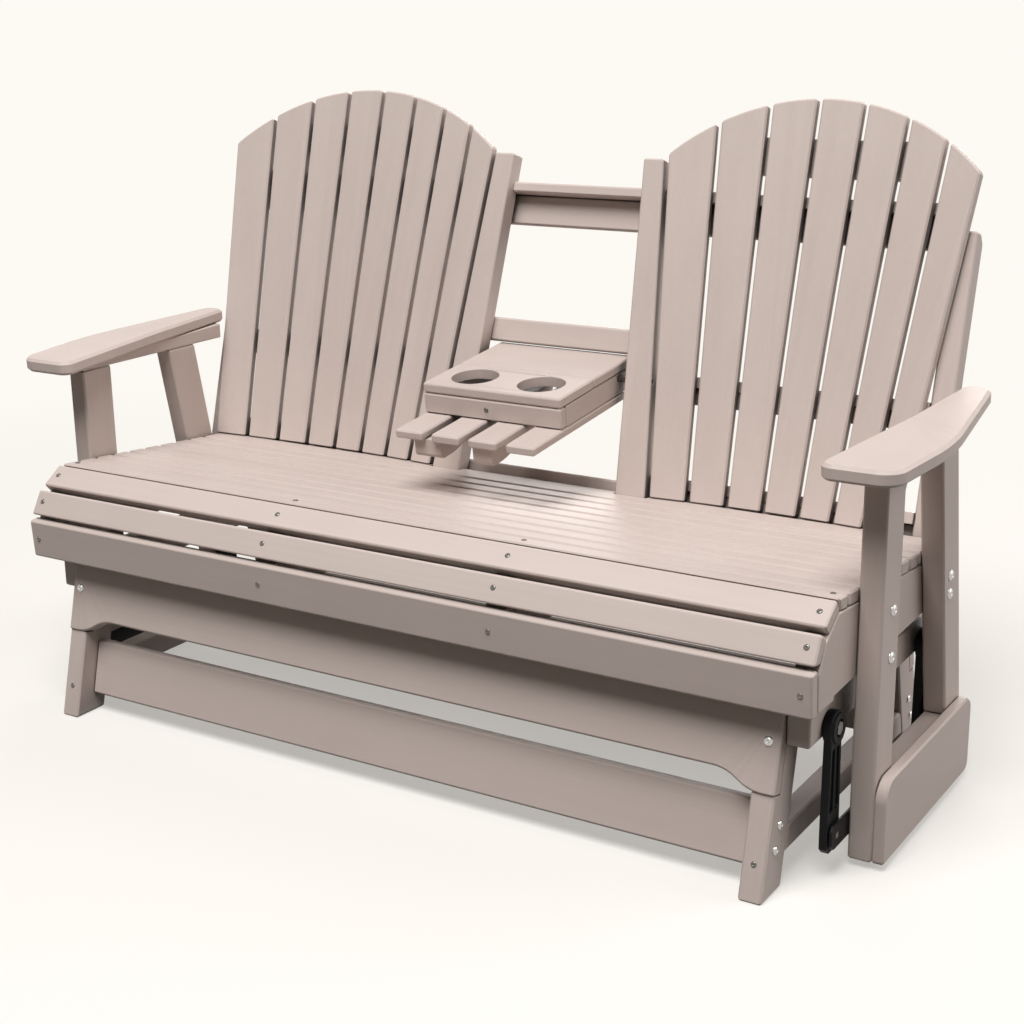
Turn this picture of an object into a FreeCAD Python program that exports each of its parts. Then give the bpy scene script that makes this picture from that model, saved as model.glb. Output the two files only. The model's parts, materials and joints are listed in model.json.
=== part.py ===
import FreeCAD, Part
import math
import os

os.makedirs("parts", exist_ok=True)

# Adirondack glider bench in millimetres.
# X runs along the bench, the front looks towards -Y and Z is up from the floor.
# While it is drawn, Y is measured from the middle of the base.

# Lumber
BOARD = 38.0
SLAT = 22.0
THIN = 19.0
APRON = 25.0
EASE = 3.0
SHARP_ANGLE = 0.3
SQUARE = 4
HEXAGON = 6

# Fits
RUN = 0.05
SNUG = 0.02
FLOAT = 0.1
STOP_CLEARANCE = 0.3
SLAT_END_GAP = 1.0

# Seat length and height of the foot of the seat above the floor
SEAT_HALF = 767.0
FOOT_Z = 12.0

# Base
BASE_DEPTH = 673.0
BASE_TOP = 284.0
LEG_DEPTH = 72.0
LEG_SLOPE = 0.25
APRON_HEIGHT = 104.0
EAR_HEIGHT = 130.0
EAR_WIDTH = 42.0
EAR_SWEEP = 40.0
APRON_PROUD = 4.0
STRETCHER_LOW = 44.0
STRETCHER_HEIGHT = 98.0
STRETCHER_SETBACK = 35.0
LOWER_RAIL_LOW = 50.0
LOWER_RAIL_HEIGHT = 42.0
UPPER_RAIL_HEIGHT = 56.0

# Glide links
WHEELBASE = 397.0
LINK_TOP_DROP = 42.0
LINK_LENGTH = 172.0
LINK = 13.0
HUB_R = 26.0
LINK_TOP_WIDTH = 38.0
LINK_FOOT_WIDTH = 46.0
LINK_FOOT_HEIGHT = 54.0
LINK_FOOT_CORNER = 9.0
POCKET_DEPTH = 5.0
POCKET_WALL = 5.0
POCKET_RIB = 6.0
POCKET_END = 12.0
BOSS_IN_R = 14.0
BOSS_OUT_R = 24.0
BOSS_HEIGHT = 5.0
BOSS_SIDES = 16
BOLT_R = 6.0
BUSH_WALL = 4.0
SPACER = 1.9
HEX_R = 11.0
HEX = 3.0
STRAP = 5.0
STRAP_HEIGHT = 40.0
STRAP_REACH = 20.0
STRAP_CORNER = 8.0

# Side frames
FRONT_POST_Y = -153.5
FRONT_POST_WIDTH = 73.0
POST_TOP = 612.0
REAR_POST_Y = 80.5
REAR_POST_WIDTH = 73.0
REAR_POST_SLOPE = 0.19
BOTTOM_RAIL_HEIGHT = 121.0
SIDE_BOARD_HEIGHT = 135.0
SIDE_REAR_Y = 250.5
SIDE_CORNER_FRONT = 35.0
SIDE_CORNER_REAR = 25.0
SIDE_CORNER_LOW = 18.0
SIDE_CORNER_TOE = 6.0

# Arms
ARM_FRONT_Y = -234.5
ARM_RISE = 9.0
ARM_TILT = 2.4
ARM_LENGTH = 497.0
ARM_INSIDE = 42.0
ARM_OUTSIDE = 77.0
ARM_WIDEST = 98.0
ARM_WIDEST_AT = 185.0
ARM_WAIST = 6.0
ARM_WAIST_AT = 290.0
ARM_REAR_INSIDE = 9.0
ARM_REAR_OUTSIDE = 55.0
ARM_BEND = 500.0
ARM_EDGE = 5.0
ARM_FRONT_INSIDE_R = 20.0
ARM_FRONT_OUTSIDE_R = 35.0
ARM_REAR_OUTSIDE_R = 20.0
ARM_REAR_INSIDE_R = 16.0
CLEAT_REAR_Y = 235.0

# Seat rails, rolled nose and seat slats
RAIL_LOW = 300.0
RAIL_FRONT_Y = -292.5
RAIL_STEP = 6.0
RAIL_STEP_AT = 58.0
RAIL_REAR_LOW = 316.0
APRON_FACET = 59.0
APRON_ANGLE = 93.6
APRON_SLAT_START = -3.0
APRON_SLAT_WIDTH = 70.0
LOWER_FACET = 46.8
LOWER_ANGLE = 59.7
LOWER_SLAT_START = 6.0
LOWER_SLAT_WIDTH = 48.0
LOWER_SLAT_BEVEL = 8.0
UPPER_FACET = 53.3
UPPER_ANGLE = 34.3
UPPER_SLAT_START = 10.0
UPPER_SLAT_WIDTH = 51.0
UPPER_SLAT_BEVEL = 3.0
SEAT_TILT = 4.7
SEAT_SLATS = 10
SEAT_GAP = 7.0
SEAT_BEVEL = 11.0
SEAT_TAIL = 26.0
POST_CLEARANCE = 1.0
INNER_RAIL_X = 230.0

# Back
BACK_Y = 202.4
BACK_Z = 407.6
BACK_LEAN = 15.74
POST_LOW = -95.0
POST_HIGH = 610.0
POST_IN = 169.0
POST_OUT = 229.0
POST_IN_TAPER = 0.053
POST_OUT_TAPER = 0.086
RIGHT_UPRIGHT_INSET = 17.0
LEFT_UPRIGHT_LOW = -50.0
UPRIGHT_HIGH = 517.0
UPRIGHT_CHAMFER = 16.0
UPRIGHT_SETBACK = 6.0
FAN_LOW = -4.0
FAN_FOOT_GAP = 0.5
FAN_GAP = 9.0
FAN_POST_GAP = 5.0
FAN_HOLLOW = 18.0
FAN_HOLLOW_UP = 250.0
FAN_PEAK = 726.0
FAN_ARCH_RISE = 110.0
FAN_OUTER_DROP = 12.0
LEFT_SLATS = 8
LEFT_LOW_OVERHANG = 7.0
LEFT_HIGH_OVERHANG = 46.0
LEFT_SKEW = 0.18
RIGHT_SLATS = 7
RIGHT_LOW_OVERHANG = -79.0
RIGHT_HIGH_OVERHANG = -15.0
RIGHT_SKEW = -0.16
RIB_CLEARANCE = 0.95
CAP_HIGH = 560.0
CAP_END_GAP = 12.0
TOP_RAIL_HEIGHT = 56.0
TOP_RAIL_SETBACK = 13.0
MID_RAIL_HEIGHT = 45.0
LOW_RAIL_HIGH = 31.0
LOW_RAIL_HEIGHT = 90.0
BATTEN_GAP = 2.0
FAN_LEDGE_HIGH = 233.0
FAN_RAIL_HEIGHT = 30.0
ARCH_BATTEN_LOW = 596.0
ARCH_BATTEN_HEIGHT = 64.0
ARCH_BATTEN_INSET = 108.0

# Console
PIVOT_UP = 215.0
PIVOT_BEHIND = 10.0
PIVOT_R = 5.0
PIVOT_BELOW = 27.0
PIN_COLLAR_R = 7.0
PIN_IN_POST = 36.0
CONSOLE_TILT = 6.3
CONSOLE_HALF = 142.0
CONSOLE_FRONT = 211.0
CONSOLE_TAIL = 55.0
CONSOLE_SEAM = 120.0
CONSOLE_SEAM_GAP = 1.0
CONSOLE_HEIGHT = 57.0
CONSOLE_SLAT = 16.0
CONSOLE_SLATS = 4
CONSOLE_SLAT_GAP = 19.0
CONSOLE_SLAT_WIDTH = 57.0
CONSOLE_NOSE = 95.0
CONSOLE_SLAT_TAIL = 20.0
CUP_R = 43.0
CUP_X = 69.0
CUP_BACK = 62.0
BLOCK_DROP = 34.0
BLOCK_LENGTH = 150.0
BLOCK_FLAT = 40.0
BLOCK_SETBACK = 12.0
BLOCK_CORNER = 9.0
LEFT_BLOCK_X = -83.0
LEFT_BLOCK_WIDTH = 54.0
RIGHT_BLOCK_X = 30.0
RIGHT_BLOCK_WIDTH = 38.0

# Places along X, from the seat frame inwards to the legs
STRAP_IN = SEAT_HALF - STRAP
LINK_OUT = STRAP_IN - FLOAT - SPACER
LINK_IN = LINK_OUT - LINK
RAIL_OUT = LINK_IN - SPACER - FLOAT
LEG_OUT = RAIL_OUT - BOARD
LEG_IN = LEG_OUT - BOARD
SIDE_OUT = SEAT_HALF + BOARD
SLAT_END = SEAT_HALF - SLAT_END_GAP

TOE = -BASE_DEPTH / 2
PIVOT_Y = WHEELBASE / 2
LINK_TOP_Z = BASE_TOP - LINK_TOP_DROP
LINK_LOW_Z = LINK_TOP_Z - LINK_LENGTH
BUSH_R = BOLT_R + RUN + BUSH_WALL
SLOPE_LENGTH = math.hypot(1.0, LEG_SLOPE)
LEAN = math.radians(BACK_LEAN)
TILT = math.radians(CONSOLE_TILT)
ARM_ANGLE = math.radians(ARM_TILT)
arm_under = POST_TOP + ARM_RISE
fan_inner_top = FAN_PEAK - FAN_ARCH_RISE
fan_outer_top = fan_inner_top - FAN_OUTER_DROP


def side(y, z, x):
    return FreeCAD.Vector(x, y, z)


def leg_plane(x, up, behind):
    y = TOE + (up * LEG_SLOPE + behind) / SLOPE_LENGTH
    z = (up - behind * LEG_SLOPE) / SLOPE_LENGTH
    return FreeCAD.Vector(x, y, z)


def arm_plane(x, along, above):
    y = ARM_FRONT_Y + along * math.cos(ARM_ANGLE) - above * math.sin(ARM_ANGLE)
    z = arm_under + along * math.sin(ARM_ANGLE) + above * math.cos(ARM_ANGLE)
    return FreeCAD.Vector(x, y, z)


def back_plane(x, up, behind):
    y = BACK_Y + up * math.sin(LEAN) + behind * math.cos(LEAN)
    z = BACK_Z + up * math.cos(LEAN) - behind * math.sin(LEAN)
    return FreeCAD.Vector(x, y, z)


PIVOT = back_plane(0, PIVOT_UP, PIVOT_BEHIND)


def console_plane(x, ahead, above):
    y = PIVOT.y - ahead * math.cos(TILT) - above * math.sin(TILT)
    z = PIVOT.z - ahead * math.sin(TILT) + above * math.cos(TILT)
    return FreeCAD.Vector(x, y, z)


def console_side(ahead, above, x):
    return console_plane(x, ahead, above)


def facet_plane(start, degrees):
    angle = math.radians(degrees)

    def place(x, along, out):
        y = start[0] + along * math.cos(angle) - out * math.sin(angle)
        z = start[1] + along * math.sin(angle) + out * math.cos(angle)
        return FreeCAD.Vector(x, y, z)

    return place


def rounded_face(corners):
    entries = []
    exits = []
    arcs = []
    for i, (point, radius) in enumerate(corners):
        before = (corners[i - 1][0] - point).normalize()
        after = (corners[(i + 1) % len(corners)][0] - point).normalize()
        half = before.getAngle(after) / 2
        entries.append(point + before * (radius / math.tan(half)))
        exits.append(point + after * (radius / math.tan(half)))
        arc = None
        if radius > 0:
            middle = (before + after).normalize()
            bulge = point + middle * (radius / math.sin(half) - radius)
            arc = Part.Arc(entries[i], bulge, exits[i]).toShape()
        arcs.append(arc)
    edges = []
    for i in range(len(corners)):
        if arcs[i]:
            edges.append(arcs[i])
        edges.append(Part.makeLine(exits[i], entries[(i + 1) % len(corners)]))
    return Part.Face(Part.Wire(edges))


def panel(place, corners, low, high):
    points = [(place(c[0], c[1], low), c[2] if len(c) > 2 else 0.0) for c in corners]
    return rounded_face(points).extrude(place(0, 0, high) - place(0, 0, low))


def block(place, u, v, w):
    corners = ((u[0], v[0]), (u[1], v[0]), (u[1], v[1]), (u[0], v[1]))
    return panel(place, corners, w[0], w[1])


def sharp_edges(shape):
    found = []
    for edge in shape.Edges:
        point = edge.valueAt((edge.FirstParameter + edge.LastParameter) / 2)
        faces = shape.ancestorsOfType(edge, Part.Face)
        first = faces[0].normalAt(*faces[0].Surface.parameter(point))
        second = faces[1].normalAt(*faces[1].Surface.parameter(point))
        if first.getAngle(second) > SHARP_ANGLE:
            found.append(edge)
    return found


def eased(shape, size=EASE):
    return shape.makeChamfer(size, sharp_edges(shape))


def mirror_x(shape):
    return shape.mirror(FreeCAD.Vector(0, 0, 0), FreeCAD.Vector(1, 0, 0))


def mirror_y(shape):
    return shape.mirror(FreeCAD.Vector(0, 0, 0), FreeCAD.Vector(0, 1, 0))


def rod(radius, x_low, x_high, y, z):
    start = FreeCAD.Vector(x_low, y, z)
    return Part.makeCylinder(radius, x_high - x_low, start, FreeCAD.Vector(1, 0, 0))


def bar(sides, radius, x_low, x_high, y, z):
    corners = []
    for i in range(sides):
        angle = 2 * math.pi * (i + 0.5) / sides
        corners.append((y + radius * math.cos(angle), z + radius * math.sin(angle)))
    return panel(side, corners, x_low, x_high)


nodes = {}


def add_pair(name, right):
    nodes[name + "_right"] = [right]
    nodes[name + "_left"] = [mirror_x(right)]


# Base: legs with a notch for the apron
def leg_edge(z):
    return TOE + LEG_DEPTH + LEG_SLOPE * z


apron_top = BASE_TOP * SLOPE_LENGTH
ear_low = apron_top - EAR_HEIGHT
leg_outline = (
    (TOE, 0),
    (leg_edge(0), 0),
    (leg_edge(BASE_TOP), BASE_TOP),
    (TOE + LEG_SLOPE * BASE_TOP, BASE_TOP),
)
leg = eased(panel(side, leg_outline, LEG_IN, LEG_OUT))
notch_x = (LEG_IN - BOARD, LEG_OUT + BOARD)
notch = block(leg_plane, notch_x, (ear_low, apron_top + BOARD), (-BOARD, APRON - APRON_PROUD))
leg = leg.cut(notch)
add_pair("base_leg_front", leg)
add_pair("base_leg_rear", mirror_y(leg))

# Base: aprons with ears over the legs
ear_in = LEG_OUT - EAR_WIDTH
apron_low = apron_top - APRON_HEIGHT
ear_drop = EAR_HEIGHT - APRON_HEIGHT
ear_slope = math.hypot(EAR_SWEEP, ear_drop) / 2 - EASE
ogee_r = ear_slope / math.tan(math.atan2(ear_drop, EAR_SWEEP) / 2)
apron_half = (
    (ear_in - EAR_SWEEP, apron_low, ogee_r),
    (ear_in, ear_low, ogee_r),
    (LEG_OUT, ear_low, 0),
    (LEG_OUT, apron_top, 0),
)
apron_outline = apron_half + tuple((-x, up, r) for x, up, r in reversed(apron_half))
apron = eased(panel(leg_plane, apron_outline, -APRON_PROUD, APRON - APRON_PROUD))
nodes["base_apron_front"] = [apron]
nodes["base_apron_rear"] = [mirror_y(apron)]

# Base: stretchers and side rails
stretcher_up = (STRETCHER_LOW * SLOPE_LENGTH, (STRETCHER_LOW + STRETCHER_HEIGHT) * SLOPE_LENGTH)
stretcher_depth = (STRETCHER_SETBACK, STRETCHER_SETBACK + APRON)
stretcher = eased(block(leg_plane, (-LEG_IN, LEG_IN), stretcher_up, stretcher_depth))
nodes["base_stretcher_front"] = [stretcher]
nodes["base_stretcher_rear"] = [mirror_y(stretcher)]

rail_low, rail_high = LOWER_RAIL_LOW, LOWER_RAIL_LOW + LOWER_RAIL_HEIGHT
lower_outline = (
    (leg_edge(rail_low), rail_low),
    (-leg_edge(rail_low), rail_low),
    (-leg_edge(rail_high), rail_high),
    (leg_edge(rail_high), rail_high),
)
add_pair("base_lower_rail", eased(panel(side, lower_outline, LEG_IN, LEG_OUT)))

upper_end = TOE + LEG_SLOPE * BASE_TOP
upper_z = (BASE_TOP - UPPER_RAIL_HEIGHT, BASE_TOP)
upper_rail = eased(block(side, (upper_end, -upper_end), upper_z, (LEG_OUT, RAIL_OUT)))
for pivot_y in (-PIVOT_Y, PIVOT_Y):
    hole = bar(SQUARE, BOLT_R + SNUG, LEG_OUT - BOARD, RAIL_OUT + BOARD, pivot_y, LINK_TOP_Z)
    upper_rail = upper_rail.cut(hole)
add_pair("base_upper_rail", upper_rail)


# Glide links: cast arms with a round hub, a square foot, a ribbed face and a ring round the bolt
def glide_link(y):
    top_half = LINK_TOP_WIDTH / 2
    foot_half = LINK_FOOT_WIDTH / 2
    foot_top = LINK_LOW_Z + LINK_FOOT_HEIGHT / 2
    foot_low = LINK_LOW_Z - LINK_FOOT_HEIGHT / 2
    toe_half = foot_half - LINK_FOOT_CORNER
    toe_top = foot_low + LINK_FOOT_CORNER
    hub = rod(HUB_R, LINK_IN, LINK_OUT, y, LINK_TOP_Z)
    outline = (
        (y - top_half, LINK_TOP_Z),
        (y - foot_half, foot_top),
        (y - foot_half, toe_top),
        (y - toe_half, foot_low),
        (y + toe_half, foot_low),
        (y + foot_half, toe_top),
        (y + foot_half, foot_top),
        (y + top_half, LINK_TOP_Z),
    )
    boss_x = (LINK_OUT, LINK_OUT + BOSS_HEIGHT)
    boss = bar(BOSS_SIDES, BOSS_OUT_R, boss_x[0], boss_x[1], y, LINK_TOP_Z)
    boss = boss.cut(bar(BOSS_SIDES, BOSS_IN_R, boss_x[0], boss_x[1], y, LINK_TOP_Z))
    body = hub.fuse([panel(side, outline, LINK_IN, LINK_OUT), boss]).removeSplitter()
    inner = POCKET_RIB / 2
    outer_top = top_half - POCKET_WALL
    outer_low = foot_half - POCKET_WALL
    pocket_top = LINK_TOP_Z - HUB_R - POCKET_END / 2
    pocket_low = foot_top + POCKET_END
    for hand in (-1, 1):
        pocket = (
            (y + hand * inner, pocket_low),
            (y + hand * (outer_low - inner), pocket_low),
            (y + hand * outer_low, pocket_low + inner),
            (y + hand * outer_top, pocket_top - inner),
            (y + hand * (outer_top - inner), pocket_top),
            (y + hand * inner, pocket_top),
        )
        body = body.cut(panel(side, pocket, LINK_OUT - POCKET_DEPTH, LINK_OUT + POCKET_DEPTH))
    for z in (LINK_TOP_Z, LINK_LOW_Z):
        body = body.cut(bar(HEXAGON, BUSH_R + SNUG, LINK_IN - LINK, LINK_OUT + LINK, y, z))
    return body


# Six-sided bushes that stand out of both faces of the link as spacers
def bushes(y):
    made = []
    for z in (LINK_TOP_Z, LINK_LOW_Z):
        bush = bar(HEXAGON, BUSH_R, LINK_IN - SPACER, LINK_OUT + SPACER, y, z)
        made.append(bush.cut(rod(BOLT_R + RUN, LINK_IN - LINK, LINK_OUT + LINK, y, z)))
    return made


for place_name, pivot_y in (("front", -PIVOT_Y), ("rear", PIVOT_Y)):
    add_pair("link_" + place_name, glide_link(pivot_y))
    right_bushes = bushes(pivot_y)
    nodes["link_" + place_name + "_right_bushes"] = right_bushes
    nodes["link_" + place_name + "_left_bushes"] = [mirror_x(bush) for bush in right_bushes]


# Pivot bolts: a square neck in the rail or strap, a round journal and a hexagon end
def pivot_bolt(neck, journal, hexagon, y, z):
    square = bar(SQUARE, BOLT_R, neck[0], neck[1], y, z)
    end = bar(HEXAGON, HEX_R, hexagon[0], hexagon[1], y, z)
    return square.fuse([rod(BOLT_R, journal[0], journal[1], y, z), end]).removeSplitter()


upper_bolts = []
lower_bolts = []
for pivot_y in (-PIVOT_Y, PIVOT_Y):
    bolt = pivot_bolt(
        (LEG_OUT, RAIL_OUT), (RAIL_OUT, STRAP_IN), (STRAP_IN, STRAP_IN + HEX), pivot_y, LINK_TOP_Z
    )
    upper_bolts += [bolt, mirror_x(bolt)]
    bolt = pivot_bolt(
        (STRAP_IN, SEAT_HALF), (RAIL_OUT, STRAP_IN), (RAIL_OUT - HEX, RAIL_OUT), pivot_y, LINK_LOW_Z
    )
    lower_bolts += [bolt, mirror_x(bolt)]
nodes["upper_pivot_bolts"] = upper_bolts
nodes["lower_pivot_bolts"] = lower_bolts

# Straps that hold the lower pivots on the seat frame
strap_half = STRAP_HEIGHT / 2
strap_y = PIVOT_Y + STRAP_REACH
strap_outline = []
for hand_y, hand_z in ((-1, -1), (1, -1), (1, 1), (-1, 1)):
    tip = (hand_y * strap_y, LINK_LOW_Z + hand_z * (strap_half - STRAP_CORNER))
    shoulder = (hand_y * (strap_y - STRAP_CORNER), LINK_LOW_Z + hand_z * strap_half)
    strap_outline += [tip, shoulder] if hand_y == hand_z else [shoulder, tip]
strap = panel(side, strap_outline, STRAP_IN, SEAT_HALF)
for pivot_y in (-PIVOT_Y, PIVOT_Y):
    hole = bar(SQUARE, BOLT_R + SNUG, STRAP_IN - BOARD, SEAT_HALF + BOARD, pivot_y, LINK_LOW_Z)
    strap = strap.cut(hole)
nodes["glide_straps"] = [strap, mirror_x(strap)]

# Side frames
front_rear_y = FRONT_POST_Y + FRONT_POST_WIDTH
frame_x = (SEAT_HALF, SIDE_OUT)
front_post = eased(block(side, (FRONT_POST_Y, front_rear_y), (FOOT_Z, POST_TOP), frame_x))
add_pair("front_post", front_post)

rail_top = FOOT_Z + BOTTOM_RAIL_HEIGHT
bottom_rail = eased(block(side, (front_rear_y, SIDE_REAR_Y), (FOOT_Z, rail_top), frame_x))
add_pair("bottom_rail", bottom_rail)

post_run = REAR_POST_SLOPE * (POST_TOP - rail_top)
post_depth = REAR_POST_WIDTH * math.hypot(1.0, REAR_POST_SLOPE)
rear_outline = (
    (REAR_POST_Y + post_run, rail_top),
    (REAR_POST_Y + post_run + post_depth, rail_top),
    (REAR_POST_Y + post_depth, POST_TOP),
    (REAR_POST_Y, POST_TOP),
)
add_pair("rear_post", eased(panel(side, rear_outline, SEAT_HALF, SIDE_OUT)))

side_top = FOOT_Z + SIDE_BOARD_HEIGHT
side_outline = (
    (FRONT_POST_Y, FOOT_Z, SIDE_CORNER_TOE),
    (SIDE_REAR_Y, FOOT_Z, SIDE_CORNER_LOW),
    (SIDE_REAR_Y, side_top, SIDE_CORNER_REAR),
    (FRONT_POST_Y, side_top, SIDE_CORNER_FRONT),
)
add_pair("side_board", eased(panel(side, side_outline, SIDE_OUT, SIDE_OUT + THIN)))


# Arms on wedge cleats
def arm_underside(y):
    return arm_under + math.tan(ARM_ANGLE) * (y - ARM_FRONT_Y)


cleat_outline = (
    (FRONT_POST_Y, POST_TOP),
    (CLEAT_REAR_Y, POST_TOP),
    (CLEAT_REAR_Y, arm_underside(CLEAT_REAR_Y)),
    (FRONT_POST_Y, arm_underside(FRONT_POST_Y)),
)
add_pair("arm_cleat", panel(side, cleat_outline, SEAT_HALF, SIDE_OUT))

arm_outline = (
    (SEAT_HALF - ARM_INSIDE, 0, ARM_FRONT_INSIDE_R),
    (SEAT_HALF + ARM_OUTSIDE, 0, ARM_FRONT_OUTSIDE_R),
    (SEAT_HALF + ARM_WIDEST, ARM_WIDEST_AT, ARM_BEND),
    (SEAT_HALF + ARM_REAR_OUTSIDE, ARM_LENGTH, ARM_REAR_OUTSIDE_R),
    (SEAT_HALF + ARM_REAR_INSIDE, ARM_LENGTH, ARM_REAR_INSIDE_R),
    (SEAT_HALF - ARM_WAIST, ARM_WAIST_AT, ARM_BEND),
)
add_pair("arm", eased(panel(arm_plane, arm_outline, 0, APRON), ARM_EDGE))

# Seat rails with the rolled nose
nose_points = [(RAIL_FRONT_Y, RAIL_LOW)]
nose_facets = ((APRON_FACET, APRON_ANGLE), (LOWER_FACET, LOWER_ANGLE), (UPPER_FACET, UPPER_ANGLE))
for length, degrees in nose_facets:
    y, z = nose_points[-1]
    angle = math.radians(degrees)
    nose_points.append((y + length * math.cos(angle), z + length * math.sin(angle)))
seat_start = nose_points[-1]
seat_slope = math.tan(math.radians(SEAT_TILT))


def back_y(z, behind):
    return BACK_Y + (z - BACK_Z) * math.tan(LEAN) + behind / math.cos(LEAN)


def seat_rail(x_low, x_high, behind):
    offset = back_y(seat_start[1], behind) - seat_start[0]
    run = offset / (1 + seat_slope * math.tan(LEAN))
    outline = nose_points + [
        (seat_start[0] + run, seat_start[1] - seat_slope * run),
        (back_y(RAIL_REAR_LOW, behind), RAIL_REAR_LOW),
        (RAIL_FRONT_Y + RAIL_STEP_AT, RAIL_LOW + RAIL_STEP),
        (RAIL_FRONT_Y + RAIL_STEP_AT, RAIL_LOW),
    ]
    return panel(side, outline, x_low, x_high)


add_pair("seat_rail", seat_rail(SEAT_HALF - BOARD, SEAT_HALF, THIN + UPRIGHT_SETBACK))
inner_rail = seat_rail(INNER_RAIL_X - BOARD / 2, INNER_RAIL_X + BOARD / 2, 0)
nodes["seat_inner_rails"] = [inner_rail, mirror_x(inner_rail)]

# Seat slats over the nose and the seat, some with a bevelled front edge
def seat_slat(plane, start, width, bevel):
    def section(along, out, x):
        return plane(x, along, out)

    outline = ((start + bevel, 0), (start + width, 0), (start + width, SLAT), (start, SLAT))
    return eased(panel(section, outline, -SLAT_END, SLAT_END))


apron_plane = facet_plane(nose_points[0], APRON_ANGLE)
lower_plane = facet_plane(nose_points[1], LOWER_ANGLE)
upper_plane = facet_plane(nose_points[2], UPPER_ANGLE)
apron_slat = seat_slat(apron_plane, APRON_SLAT_START, APRON_SLAT_WIDTH, 0)
lower_slat = seat_slat(lower_plane, LOWER_SLAT_START, LOWER_SLAT_WIDTH, LOWER_SLAT_BEVEL)
upper_slat = seat_slat(upper_plane, UPPER_SLAT_START, UPPER_SLAT_WIDTH, UPPER_SLAT_BEVEL)
nodes["seat_apron_slat"] = [apron_slat]
nodes["seat_nose_slat_lower"] = [lower_slat]
nodes["seat_nose_slat_upper"] = [upper_slat]

seat_plane = facet_plane(seat_start, -SEAT_TILT)
slat_corner = seat_plane(0, 0, SLAT)
reach = back_y(slat_corner.z, 0) - slat_corner.y
seat_run = reach / (math.cos(math.radians(SEAT_TILT)) * (1 + seat_slope * math.tan(LEAN)))
seat_pitch = seat_run / SEAT_SLATS
slat_width = seat_pitch - SEAT_GAP
flat_slats = [seat_slat(seat_plane, 0, slat_width, SEAT_BEVEL)]
for i in range(1, SEAT_SLATS - 1):
    flat_slats.append(seat_slat(seat_plane, i * seat_pitch, slat_width, 0))
rear_slat = seat_slat(seat_plane, seat_run - seat_pitch, slat_width + SEAT_TAIL, 0)


# Back frame: tapered centre posts and outer uprights
def post_in(up):
    return POST_IN - POST_IN_TAPER * up


def post_out(up):
    return POST_OUT - POST_OUT_TAPER * up


# The rear seat slat reaches under the hollow fans and is notched round the posts
for hand in (-1, 1):
    notch_ends = (post_in(BOARD) - POST_CLEARANCE, post_out(-BOARD) + POST_CLEARANCE)
    notch_sides = sorted((hand * notch_ends[0], hand * notch_ends[1]))
    notch = block(back_plane, notch_sides, (-2 * BOARD, 2 * BOARD), (-POST_CLEARANCE, 2 * BOARD))
    rear_slat = rear_slat.cut(notch)
nodes["seat_flat_slats"] = flat_slats + [rear_slat]

post_outline = (
    (post_in(POST_LOW), POST_LOW),
    (post_out(POST_LOW), POST_LOW),
    (post_out(POST_HIGH), POST_HIGH),
    (post_in(POST_HIGH), POST_HIGH),
)
centre_post = eased(panel(back_plane, post_outline, 0, BOARD))
pin_socket = bar(SQUARE, PIVOT_R + SNUG, 0, SEAT_HALF, PIVOT.y, PIVOT.z)
add_pair("centre_post", centre_post.cut(pin_socket))


def back_side(up, behind, x):
    return back_plane(x, up, behind)


def upright(low, x_in):
    front = THIN + UPRIGHT_SETBACK
    rear = front + BOARD
    outline = (
        (low, front),
        (UPRIGHT_HIGH, front),
        (UPRIGHT_HIGH, rear - UPRIGHT_CHAMFER),
        (UPRIGHT_HIGH - UPRIGHT_CHAMFER, rear),
        (low, rear),
    )
    return eased(panel(back_side, outline, x_in, x_in + BOARD))


right_in = SEAT_HALF - RIGHT_UPRIGHT_INSET - BOARD
left_in = SEAT_HALF
nodes["outer_upright_right"] = [upright(POST_LOW, right_in)]
nodes["outer_upright_left"] = [mirror_x(upright(LEFT_UPRIGHT_LOW, left_in))]


# Edges of the fans: the inner one follows the post, the outer one leans outwards
def spread(low, high, share):
    return low + (high - low) * share


def fan_share(up):
    return (up - FAN_LOW) / (fan_inner_top - FAN_LOW)


def fan_inner(up):
    return post_out(up) + FAN_POST_GAP


def right_outer(up):
    return SEAT_HALF + spread(RIGHT_LOW_OVERHANG, RIGHT_HIGH_OVERHANG, fan_share(up))


def left_outer(up):
    return SEAT_HALF + spread(LEFT_LOW_OVERHANG, LEFT_HIGH_OVERHANG, fan_share(up))


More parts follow.
